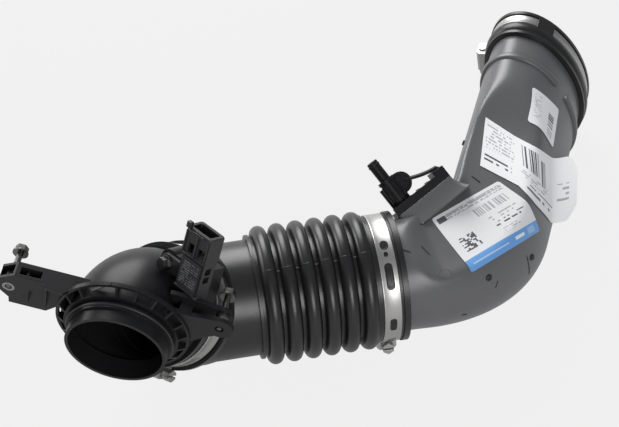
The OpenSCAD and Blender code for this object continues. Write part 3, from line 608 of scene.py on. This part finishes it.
# Printed labels: blank sheets with rows of plain bars, no lettering
def make_bars():
    """1 where a random number of the cell under the point is above the share, 0 elsewhere."""
    tree, given, out = group(
        "printed_bars", [("Vector", "vector", None), ("Columns", "float", 40.0), ("Rows", "float", 1.0),
                         ("Share", "float", 0.5), ("Fill", "float", 1.0)], [("Mask", "float")])
    parts = tree.nodes.new("ShaderNodeSeparateXYZ")
    tree.links.new(given.outputs["Vector"], parts.inputs[0])
    cells = tree.nodes.new("ShaderNodeCombineXYZ")
    for axis, label in ((0, "Columns"), (1, "Rows")):
        cell = math_node(tree, "FLOOR", math_node(tree, "MULTIPLY", parts.outputs[axis], given.outputs[label]))
        tree.links.new(cell, cells.inputs[axis])
    white = tree.nodes.new("ShaderNodeTexWhiteNoise")
    white.noise_dimensions = "2D"
    tree.links.new(cells.outputs[0], white.inputs["Vector"])
    share = math_node(tree, "GREATER_THAN", white.outputs["Value"], given.outputs["Share"])
    row = math_node(tree, "FRACT", math_node(tree, "MULTIPLY", parts.outputs[1], given.outputs["Rows"]))
    tree.links.new(math_node(tree, "MULTIPLY", share, math_node(tree, "LESS_THAN", row, given.outputs["Fill"])),
                   out.inputs["Mask"])
    return tree


BARS = make_bars()


def within(tree, value, low, high):
    """1 where the distance of a value from the middle is less than half the width, 0 elsewhere."""
    distance = math_node(tree, "ABSOLUTE", math_node(tree, "SUBTRACT", value, (low + high) / 2))
    return math_node(tree, "LESS_THAN", distance, (high - low) / 2)


def label_material(name, patches, paper=(0.78, 0.78, 0.78)):
    """Coated paper with patches: (left, right, low, high, colour, columns, rows, share of blank cells).

    A patch without columns is plain. Rows of small cells are printed over 0.45 of their height.
    """
    mat, tree, shader, _ = material(name, Roughness=0.42)
    uv = tree.nodes.new("ShaderNodeUVMap")
    uv.uv_map = "print"
    parts = tree.nodes.new("ShaderNodeSeparateXYZ")
    tree.links.new(uv.outputs[0], parts.inputs[0])
    u, v = parts.outputs[0], parts.outputs[1]
    colour = paper
    for left, right, low, high, ink, columns, rows, share in patches:
        mask = math_node(tree, "MULTIPLY", within(tree, u, left, right), within(tree, v, low, high))
        if columns:
            bars = tree.nodes.new("ShaderNodeGroup")
            bars.node_tree = BARS
            tree.links.new(uv.outputs[0], bars.inputs["Vector"])
            bars.inputs["Columns"].default_value = columns
            bars.inputs["Rows"].default_value = rows
            bars.inputs["Share"].default_value = share
            bars.inputs["Fill"].default_value = 0.45 if 1 < rows < 30 else 1.0
            mask = math_node(tree, "MULTIPLY", mask, bars.outputs["Mask"])
        colour = mix_colour(tree, mask, colour, ink)
    tree.links.new(colour, shader.inputs["Base Color"])
    bump = tree.nodes.new("ShaderNodeBump")
    bump.inputs["Distance"].default_value = 0.0004
    bump.inputs["Strength"].default_value = 0.3
    tree.links.new(noise(tree, tree.nodes.new("ShaderNodeTexCoord").outputs["Object"], 60.0), bump.inputs["Height"])
    tree.links.new(bump.outputs["Normal"], shader.inputs["Normal"])
    return mat


INK = (0.09, 0.09, 0.1)
GREY = (0.42, 0.42, 0.43)
BLUE = (0.14, 0.35, 0.72)
MAIN_LABEL = label_material("main_label_print", [
    (0.04, 0.96, 0.9, 0.95, GREY, 50, 46, 0.2), (0.04, 0.96, 0.86, 0.885, GREY, 50, 46, 0.3),
    (0.04, 0.15, 0.86, 0.95, INK, 0, 0, 0), (0.45, 0.9, 0.66, 0.8, GREY, 74, 1, 0.5),
    (0.09, 0.28, 0.28, 0.52, INK, 50, 46, 0.45), (0.5, 0.9, 0.5, 0.6, GREY, 46, 20, 0.5),
    (0.52, 0.92, 0.36, 0.46, INK, 40, 18, 0.45), (0.52, 0.76, 0.24, 0.32, GREY, 60, 26, 0.5),
    (0.0, 1.0, 0.0, 0.18, BLUE, 0, 0, 0), (0.06, 0.5, 0.08, 0.1, (0.5, 0.62, 0.78), 0, 0, 0),
    (0.6, 0.74, 0.07, 0.12, (0.75, 0.8, 0.86), 0, 0, 0), (0.8, 0.92, 0.045, 0.145, (0.3, 0.5, 0.75), 0, 0, 0)])
STRIP_LABEL = label_material("strip_label_print", [
    (0.03, 0.34, 0.42, 0.94, GREY, 70, 15, 0.45), (0.03, 0.3, 0.14, 0.3, INK, 34, 12, 0.4),
    (0.42, 0.6, 0.5, 0.9, INK, 110, 1, 0.45), (0.64, 0.7, 0.42, 0.82, INK, 110, 1, 0.45),
    (0.4, 0.74, 0.3, 0.42, GREY, 60, 20, 0.4), (0.44, 0.82, 0.12, 0.24, INK, 30, 9, 0.45),
    (0.88, 0.96, 0.3, 0.6, GREY, 50, 12, 0.4)], paper=(0.86, 0.86, 0.86))
SMALL_LABEL = label_material("small_label_print", [
    (0.62, 0.85, 0.08, 0.66, INK, 1, 56, 0.5), (0.1, 0.34, 0.2, 0.9, GREY, 16, 29, 0.5)], paper=(0.84, 0.84, 0.84))


def make_label(name, corners, material, lift=0.35, rows=60, columns=70):
    """A sheet between four (s, angle) corners, laid on the duct along the corners' mean normal."""
    grid, uv = quad_grid([on_duct(*c) for c in corners], rows, columns)
    outward = sum(duct_points(np.array([s]), np.array([a]), lift=1.0)[0] - on_duct(s, a) for s, a in corners)
    sheet_solid(name, drape(grid, lift, outward), PAPER, material, uv)


make_label("main_label", [(31, 185), (101, 217), (90, 279), (37, 264)], MAIN_LABEL)
make_label("small_label", [(195, 226), (200, 262), (162, 267), (165, 231)], SMALL_LABEL)


def make_strip_label():
    """A strip laid across the duct whose far end leaves the surface and curls away.

    The laid part runs between two rows of knots. The free end goes on by its length times (t less 0.6 t squared)
    along the strip, and 0.8 t squared outwards, and narrows over its last quarter to round its corners.
    """
    top = [on_duct(158, 182), on_duct(149, 223), on_duct(145, 241), on_duct(152, 267)]
    low = [on_duct(110, 193), on_duct(102, 238), on_duct(98, 262), on_duct(110, 296)]
    laid_share, free_length = 0.8, 17
    knots = np.array([0, 0.36, 0.52, laid_share])
    u = np.linspace(0, laid_share, 50)
    v = np.linspace(0, 1, 22)[:, None, None]
    a, b = (np.stack([np.interp(u, knots, np.array(edge)[:, i]) for i in range(3)], -1) for edge in (top, low))
    laid = drape((1 - v) * a[None] + v * b[None], 0.5, CAMERA[:3, 2])
    step = laid[:, -1] - laid[:, -4]
    step /= np.linalg.norm(step, axis=-1)[:, None]
    out = CAMERA[:3, 0] * 1.2 + CAMERA[:3, 1] * 0.35 + CAMERA[:3, 2] * 0.2
    t = np.linspace(0, 1, 16)[None, 1:, None]
    free = laid[:, -1][:, None] + free_length * (step[:, None] * (t - 0.6 * t * t) + out * 0.8 * t * t)
    narrowed = 1 - 0.42 * np.clip((t - 0.72) / 0.28, 0, 1) ** 2
    middle = free.mean(0, keepdims=True)
    grid = np.concatenate([laid, middle + narrowed * (free - middle)], 1)
    across = np.concatenate([u, laid_share + (1 - laid_share) * t[0, :, 0]])
    uv = np.stack(np.broadcast_arrays(across[None, :], 1 - v[:, :, 0]), -1)
    sheet_solid("strip_label", grid, PAPER, STRIP_LABEL, uv)


make_strip_label()


# Marks moulded into the duct; the ticks and studs are coloured darker than the duct as painted shade
def sweep(name, path, width, height, up, material, steps=9, ends=0.35):
    """A low rounded bar along a path: half an ellipse across, on a flat foot, narrowed to its ends."""
    path = np.asarray(path, float)
    t = np.gradient(path, axis=0)
    t /= np.linalg.norm(t, axis=1)[:, None]
    up = np.broadcast_to(np.asarray(up, float), path.shape)
    side = np.cross(t, up)
    side /= np.linalg.norm(side, axis=1)[:, None]
    up = np.cross(side, t)
    angle = np.linspace(0, np.pi, steps)
    across = np.concatenate([np.cos(angle), [-1, 1]]) * width / 2
    above = np.concatenate([np.sin(angle) * height, [-0.4, -0.4]])
    k = np.linspace(0, 1, len(path))
    size = np.clip(np.minimum(k, 1 - k) * len(path) / 3, ends, 1)[:, None, None]
    points = path[:, None] + size * (across[None, :, None] * side[:, None]
                                     + above[None, :, None] * up[:, None])
    obj = solid(name, points, grid_faces(len(path), len(across), False, True), material, sharp=45)
    close_ends(obj)
    return obj


def duct_mark(name, knots, width, height, material, count=24):
    """A bar along the duct through (s, angle) knots."""
    knots = np.array(knots, float)
    k, at = np.linspace(0, 1, len(knots)), np.linspace(0, 1, count)
    s, a = np.interp(at, k, knots[:, 0]), np.interp(at, k, knots[:, 1])
    base = duct_points(s, a)
    sweep(name, base, width, height, duct_points(s, a, lift=1.0) - base, material)


DUCT_TICKS = [((19, 189), (30, 183)), ((15, 218), (20, 228)), ((0, 224), (6, 229)), ((51, 284), (49, 291)),
              ((73, 282), (74, 308)), ((97, 184), (93, 199)), ((85, 146), (71, 171)), ((31, 311), (34, 313))]
for index, ends_at in enumerate(DUCT_TICKS):
    duct_mark(f"duct_tick_{index}", ends_at, 1.0, 0.5, PAINTED_SHADE_MARK)
DUCT_SEAM = [(8, 138), (60, 143), (104, 152), (122, 160), (152, 165), (179, 169), (212, 168)]
duct_mark("duct_seam", DUCT_SEAM, 0.7, 0.22, DUCT_PLASTIC, 90)
ring_turn = np.radians(np.linspace(40, 400, 40))
ring_knots = np.c_[24 + 3.6 * np.cos(ring_turn), 254 + 5.6 * np.sin(ring_turn)]
duct_mark("duct_ring_mark", ring_knots, 0.5, 0.25, DUCT_PLASTIC, 60)


def make_boss(name, s, angle, radius, height):
    """A small round stud on the duct with a dished top: a profile carried round the surface's normal, coloured
    darker than the duct as painted shade.
    """
    foot = on_duct(s, angle)
    z = duct_points(np.array([s]), np.array([angle]), lift=1.0)[0] - foot
    x = np.cross(z, [0.3, 0.2, 1.0])
    x /= np.linalg.norm(x)
    m = np.eye(4)
    m[:3, 0], m[:3, 1], m[:3, 2], m[:3, 3] = x, np.cross(z, x), z, foot
    profile = [(0.01, -1.5), (radius, -1.5), (radius, height - 0.4), (radius - 0.4, height), (radius * 0.6, height),
               (radius * 0.5, height - 0.5), (0.01, height - 0.6)]
    obj = revolve(name, m, profile, PAINTED_SHADE_MARK, steps=32)


make_boss("duct_boss_a", 46, 276, 2.4, 1.1)
make_boss("duct_boss_b", 77, 290, 2.4, 1.1)
make_boss("duct_bump", 139, 144, 2.0, 1.2)


# Bellows: the mould's parting line over the folds
def hose_radius(z):
    """The hose's outer radius: the plain bore, or the round crest of the fold that lies nearest."""
    crest = FIRST_FOLD + FOLD_PITCH * np.clip(np.round((z - FIRST_FOLD) / FOLD_PITCH), 0, FOLD_GAPS)
    return np.maximum(PLAIN_R, CREST_R + np.sqrt(np.maximum(FOLD_R ** 2 - (z - crest) ** 2, 0)))


def hose_line(name, angle, start, end, width, height, count=420):
    """A fine bar along the hose at one angle, which drifts by seven degrees, over folds and grooves."""
    z = np.linspace(start, end, count)
    r, a = hose_radius(z), np.radians(np.interp(z, [0, 50, 120], [angle + 4, angle, angle - 3]))
    path = move(HOSE, np.stack([r * np.cos(a), r * np.sin(a), z], -1))
    centre = move(HOSE, np.stack([0 * r, 0 * r, z], -1))
    obj = sweep(name, path, width, height, path - centre, HOSE_RUBBER)


hose_line("hose_parting_line", 306, 46, 121, 0.7, 0.16)
hose_line("hose_parting_line_back", 126, 46, 121, 0.7, 0.16)


# Clamps: dark slots seen through the bands
def band_slot(name, matrix, radius, centre, half_turn, half_width, rise=0.25, slant=0.0):
    """A long patch with round ends on a band, with a raised lip: heights by the share of the way outwards.

    Its outline is a circle of the half width, pulled out either way by tanh of six times the cosine, turned by
    the slant and rolled onto the band.
    """
    share = np.linspace(0, 1, 16)[1:, None]
    a = np.linspace(0, TAU, 120, endpoint=False)[None, :]
    straight = max(half_turn * np.radians(1) * radius - half_width, 0)
    x = half_width * np.cos(a) + straight * np.tanh(6 * np.cos(a))
    y = half_width * np.sin(a)
    x, y = x * np.cos(slant) - y * np.sin(slant), x * np.sin(slant) + y * np.cos(slant)
    r = radius + np.interp(share, [0, 0.72, 0.8, 0.92, 1], [0.06, 0.06, rise, rise, -0.3]) + 0 * a
    rolled = np.radians(centre) + share * x / radius
    points = move(matrix, np.stack([r * np.cos(rolled), r * np.sin(rolled), share * y + 0 * r], -1))
    obj = solid(name, points, grid_faces(*r.shape, False, True), SLOT_DARK, sharp=50)
    close_ends(obj)


DUCT_CLAMP = HOSE @ shift(0, 0, HOSE_LEN - 12)
ELBOW_CLAMP = CUFF @ shift(0, 0, 14)
DUCT_BAND_R, DUCT_BAND_FACE, DUCT_WORM_AT = 43.53, 44.35, 84
ELBOW_BAND_R, ELBOW_BAND_FACE, ELBOW_WORM_AT = 40.53, 41.35, 76
WORM_PITCH = 2.6
BAND_PROFILE = np.array([(0.0, -6.0), (0.75, -6.0), (0.98, -5.75), (0.98, -5.2), (0.8, -4.8), (0.8, 4.8),
                         (0.98, 5.2), (0.98, 5.75), (0.75, 6.0), (0.0, 6.0)])


def make_band(name, node, matrix, radius):
    """A steel band with rolled edges, in place of the part's own: a profile carried round the clamp's axis."""
    obj = revolve(name, matrix, BAND_PROFILE + [radius, 0], BAND_STEEL, steps=240, sharp=60)
    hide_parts(node)


def make_oval(name, profile, material, steps=240):
    """A closed profile of (height over the duct's end, distance along it) carried round the duct's oval."""
    angle = np.linspace(0, 360, steps, endpoint=False)
    profile = np.asarray(profile, float)
    ring = np.stack([oval_ring(OVAL_LONG + 2 * h, OVAL_SHORT + 2 * h, angle) for h in profile[:, 0]], 1)
    z = np.broadcast_to(profile[:, 1], ring.shape[:2])
    points = move(DUCT_END, np.concatenate([ring, z[..., None]], -1))
    return solid(name, points, grid_faces(steps, len(profile), True, True), material, 60)


def make_coupler_details():
    """The coupler's thick rounded rim, half an ellipse across, and the band in the groove behind it."""
    k = np.linspace(np.pi, 0, 17)
    crown = np.stack([2.3 + 2.7 * np.sin(k), -10.2 + 5.2 * np.cos(k)], -1)
    rim = make_oval("coupler_rim", np.concatenate([[(0.8, -15.4)], crown, [(0.8, -5.0)]]), HOSE_RUBBER)
    band = make_oval("end_band", [(2.2, -4.9), (3.0, -4.9), (3.2, -4.6), (3.2, -4.1), (3.0, -3.7), (3.0, 1.7),
                                  (3.2, 2.1), (3.2, 2.6), (3.0, 2.9), (2.2, 2.9)], BAND_STEEL)
    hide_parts("end_clamp_band")


make_coupler_details()
make_band("duct_band", "duct_clamp_band", DUCT_CLAMP, DUCT_BAND_R)
make_band("elbow_band", "elbow_clamp_band", ELBOW_CLAMP, ELBOW_BAND_R)
for index, slot in enumerate([(297, 4.8, 3.0), (306, 2.6, 1.5), (326, 12.5, 3.0), (14, 8, 2.5)]):
    band_slot(f"duct_band_slot_{index}", DUCT_CLAMP, DUCT_BAND_FACE, *slot)
for name, matrix, radius, worm_at in (("elbow", ELBOW_CLAMP, ELBOW_BAND_FACE, ELBOW_WORM_AT),
                                      ("duct", DUCT_CLAMP, DUCT_BAND_FACE, DUCT_WORM_AT)):
    for index in range(9):
        for side, mark in ((-1, "tail"), (1, "head")):
            at = worm_at + side * (14 + (index + 1) * np.degrees(WORM_PITCH / radius))
            band_slot(f"{name}_{mark}_slot_{index}", matrix, radius, at, np.degrees(3.6 / radius), 0.5,
                      rise=0.05, slant=1.99)


# Sensor: its plate, latch and connector rim, and the ribs round its foot
SENSOR_LABEL = label_material("sensor_plate_print", [
    (0.08, 0.5, 0.12, 0.9, (0.16, 0.16, 0.165), 34, 13, 0.35),
    (0.56, 0.92, 0.1, 0.5, (0.14, 0.14, 0.145), 34, 13, 0.4),
    (0.56, 0.92, 0.62, 0.9, (0.16, 0.16, 0.165), 30, 13, 0.4)], paper=(0.022, 0.022, 0.023))
SENSOR_BLOCKS = [  # name, then from and to in x, y and z, in the sensor's frame
    ("sensor_latch_horn", -11.2, -7.4, -34.6, -30.4, -2.6, 0.4),
    ("sensor_latch_bar", -8.5, 5.5, -30.2, -28.6, -2.2, -0.9),
    ("sensor_rib_a", -0.9, 0.5, -28.6, -12.4, -1.6, -0.3), ("sensor_rib_b", -10.9, -9.9, -28.6, -12.4, -1.4, -0.3),
    ("sensor_rib_c", 8.9, 9.9, -28.6, -12.4, -1.4, -0.3), ("sensor_step", -10.3, 9.4, -13.4, -11.6, -1.3, -0.2),
    ("sensor_sill", -10.3, 10.3, 10.9, 12.8, -0.9, 0.6)]


def make_sensor_details():
    """Plate, connector rim with a latch horn, guide ribs and foot ribs, all standing on the sensor's solid.

    The rim is a closed loop of outlines: out along the outer wall, over the edge and back down the inner one.
    """
    grid, uv = quad_grid([(-8.8, -10.8, 0), (8.8, -10.8, 0), (8.8, 10.8, 0), (-8.8, 10.8, 0)], 30, 24, 1.2)
    grid[..., 2] -= 0.32
    sheet_solid("sensor_plate", move(SENSOR, grid), 0.5, SENSOR_LABEL, uv)
    outer, inner = box_outline(-11.3, 10.3, -1.3, 12.3, 2.2), box_outline(-8.9, 7.9, 1.1, 9.9, 1.2)
    rings = [(outer, 28.2), (outer, 30.6), (outer * 0.985, 31.2), (inner * 1.02, 31.2), (inner, 30.4),
             (inner, 28.4)]
    points = np.stack([np.c_[ring[:, 0], -reach * np.ones(len(ring)), ring[:, 1]] for ring, reach in rings])
    faces = grid_faces(len(rings), len(outer), True, True)
    solid("sensor_connector_rim", move(SENSOR, points), faces, SENSOR_PLASTIC)
    for name, x0, x1, y0, y1, z0, z1 in SENSOR_BLOCKS:
        piece = block(name, SENSOR, [(x0, y0), (x1, y0), (x1, y1), (x0, y1)], z0, z1, SENSOR_PLASTIC, 0.6, 0.25)


make_sensor_details()


# Breather: flutes on the lower tube, the nipple's end bead and the strap to the holder plate
def make_breather_details():
    """Flutes, a bead, the strap and the round housing's rim, in the breather's frame.

    The strap's path is a quadratic curve: (1 - u) squared of its start, 2 u (1 - u) of the point it is drawn to,
    u squared of its end.
    """
    flute = [(5.2, -0.55), (6.5, -0.55), (6.5, 0.55), (5.2, 0.55)]
    pieces = [block(f"breather_flute_{index}", BREATHER @ spin(index * 45 + 12), flute, 3.2, 21.5, ELBOW_PLASTIC,
                    0.3, 0.25) for index in range(8)]
    bead = [(3.6, 36.9), (4.3, 37.2), (4.45, 37.8), (4.3, 38.4), (3.6, 38.7)]
    pieces.append(revolve("breather_bead", BREATHER, bead, ELBOW_PLASTIC, 64))
    u = np.linspace(0, 1, 40)[:, None]
    start, drawn_to, end = np.array([-4.0, 9.0, 17.5]), np.array([-3.0, 24, 9.5]), np.array([0, 35.5, 9.0])
    strap = (1 - u) ** 2 * start + 2 * u * (1 - u) * drawn_to + u * u * end
    pieces.append(sweep("breather_strap", move(BREATHER, strap), 5.0, 2.4, BREATHER[:3, 2], ELBOW_PLASTIC))
    rim = [(6.0, -0.4), (7.7, -0.4), (7.9, 0.2), (7.9, 5.8), (7.7, 6.4), (6.0, 6.4), (5.6, 5.9), (5.6, 0.1)]
    pieces.append(revolve("breather_disc_rim", BREATHER @ shift(-8, 8, 17) @ tip(90), rim, ELBOW_PLASTIC, 64))


make_breather_details()


# Camera at the photograph's angle
def make_camera():
    """A plain camera: lens from the photograph's field of view."""
    data = bpy.data.cameras.new("camera")
    data.sensor_width = 36
    data.lens = 109.57
    data.clip_start, data.clip_end = 0.05, 30
    obj = bpy.data.objects.new("camera", data)
    place = CAMERA.copy()
    place[:3, 3] *= MM
    obj.matrix_world = Matrix(place.tolist())
    bpy.context.scene.collection.objects.link(obj)
    bpy.context.scene.camera = obj


make_camera()


# Floor, lamps and world
def make_floor():
    """A pale floor that the camera sees near white and that keeps a soft shadow."""
    half = 6.0
    mesh = bpy.data.meshes.new("floor")
    mesh.from_pydata([(-half, -half, 0), (half, -half, 0), (half, half, 0), (-half, half, 0)], [], [(0, 1, 2, 3)])
    obj = bpy.data.objects.new("floor", mesh)
    bpy.context.scene.collection.objects.link(obj)
    mat = bpy.data.materials.new("floor_paper")
    mat.use_nodes = True
    tree = mat.node_tree
    tree.nodes.clear()
    out = tree.nodes.new("ShaderNodeOutputMaterial")
    diffuse = tree.nodes.new("ShaderNodeBsdfDiffuse")
    diffuse.inputs["Color"].default_value = (0.6, 0.6, 0.6, 1)
    glow = tree.nodes.new("ShaderNodeEmission")
    glow.inputs["Color"].default_value = (0.885, 0.885, 0.885, 1)
    path = tree.nodes.new("ShaderNodeLightPath")
    bounced = math_node(tree, "MAXIMUM", path.outputs["Is Glossy Ray"], path.outputs["Is Transmission Ray"])
    seen = math_node(tree, "MAXIMUM", math_node(tree, "MULTIPLY", path.outputs["Is Camera Ray"], 0.96),
                     math_node(tree, "MULTIPLY", bounced, 0.4))
    mix = tree.nodes.new("ShaderNodeMixShader")
    tree.links.new(seen, mix.inputs[0])
    tree.links.new(diffuse.outputs[0], mix.inputs[1])
    tree.links.new(glow.outputs[0], mix.inputs[2])
    tree.links.new(mix.outputs[0], out.inputs[0])
    mesh.materials.append(mat)


def make_lamp(name, right, up, back, size, power):
    """A square area lamp placed by distances along the camera's axes from the part's middle, aimed at it."""
    middle = np.array([0.0, 0.0, 70.0])
    place = middle + CAMERA[:3, 0] * right + CAMERA[:3, 1] * up + CAMERA[:3, 2] * back
    z = (place - middle) / np.linalg.norm(place - middle)
    x = np.cross([0, 0, 1.0], z)
    x /= np.linalg.norm(x)
    m = np.eye(4)
    m[:3, 0], m[:3, 1], m[:3, 2], m[:3, 3] = x, np.cross(z, x), z, place * MM
    data = bpy.data.lights.new(name, "AREA")
    data.size = size
    data.energy = power
    obj = bpy.data.objects.new(name, data)
    obj.matrix_world = Matrix(m.tolist())
    bpy.context.scene.collection.objects.link(obj)


make_floor()
make_lamp("top_lamp", -300, 1250, -150, 0.9, 19)
make_lamp("left_lamp", -1250, 650, -150, 0.5, 7)
make_lamp("front_lamp", 250, -450, 1250, 0.55, 9)
world = bpy.data.worlds.new("studio")
world.use_nodes = True
world.node_tree.nodes["Background"].inputs[0].default_value = (0.9, 0.93, 1.0, 1)
world.node_tree.nodes["Background"].inputs[1].default_value = 0.3
bpy.context.scene.world = world
bpy.context.scene.view_settings.view_transform = "Standard"
